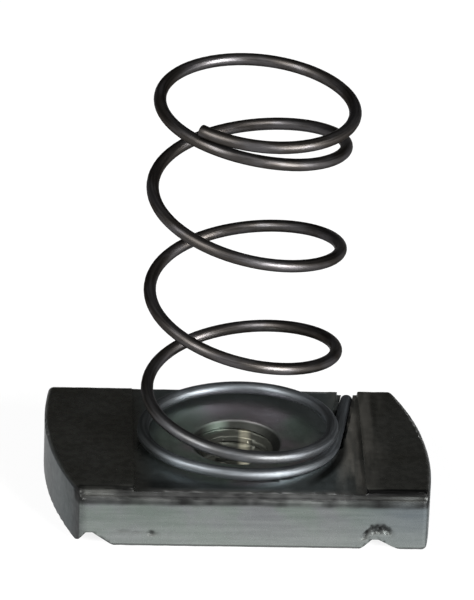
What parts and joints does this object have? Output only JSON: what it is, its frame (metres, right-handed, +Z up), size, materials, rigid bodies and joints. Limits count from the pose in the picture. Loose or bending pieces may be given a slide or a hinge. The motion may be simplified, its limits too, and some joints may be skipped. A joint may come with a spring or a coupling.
{
  "type": "strut spring nut",
  "caption": "Channel nut plate with two toothed lip grooves, a central tapped hole and a coil spring seated on its top face.",
  "frame": {"origin": "middle of the underside of the nut plate, on the axis of the tapped hole", "axes": "+Z up along the tapped hole and through the spring, X along the plate from groove to groove, Y along the grooves"},
  "size_m": [0.0358, 0.02, 0.0416],
  "materials": {
    "plated_plate": "dull zinc plate with dark patches",
    "plated_wire": "dark drawn wire with a soft shine"
  },
  "bodies": {
    "root": {"nut_plate": "plated_plate", "coil_spring": "plated_wire"}
  },
  "joints": []
}
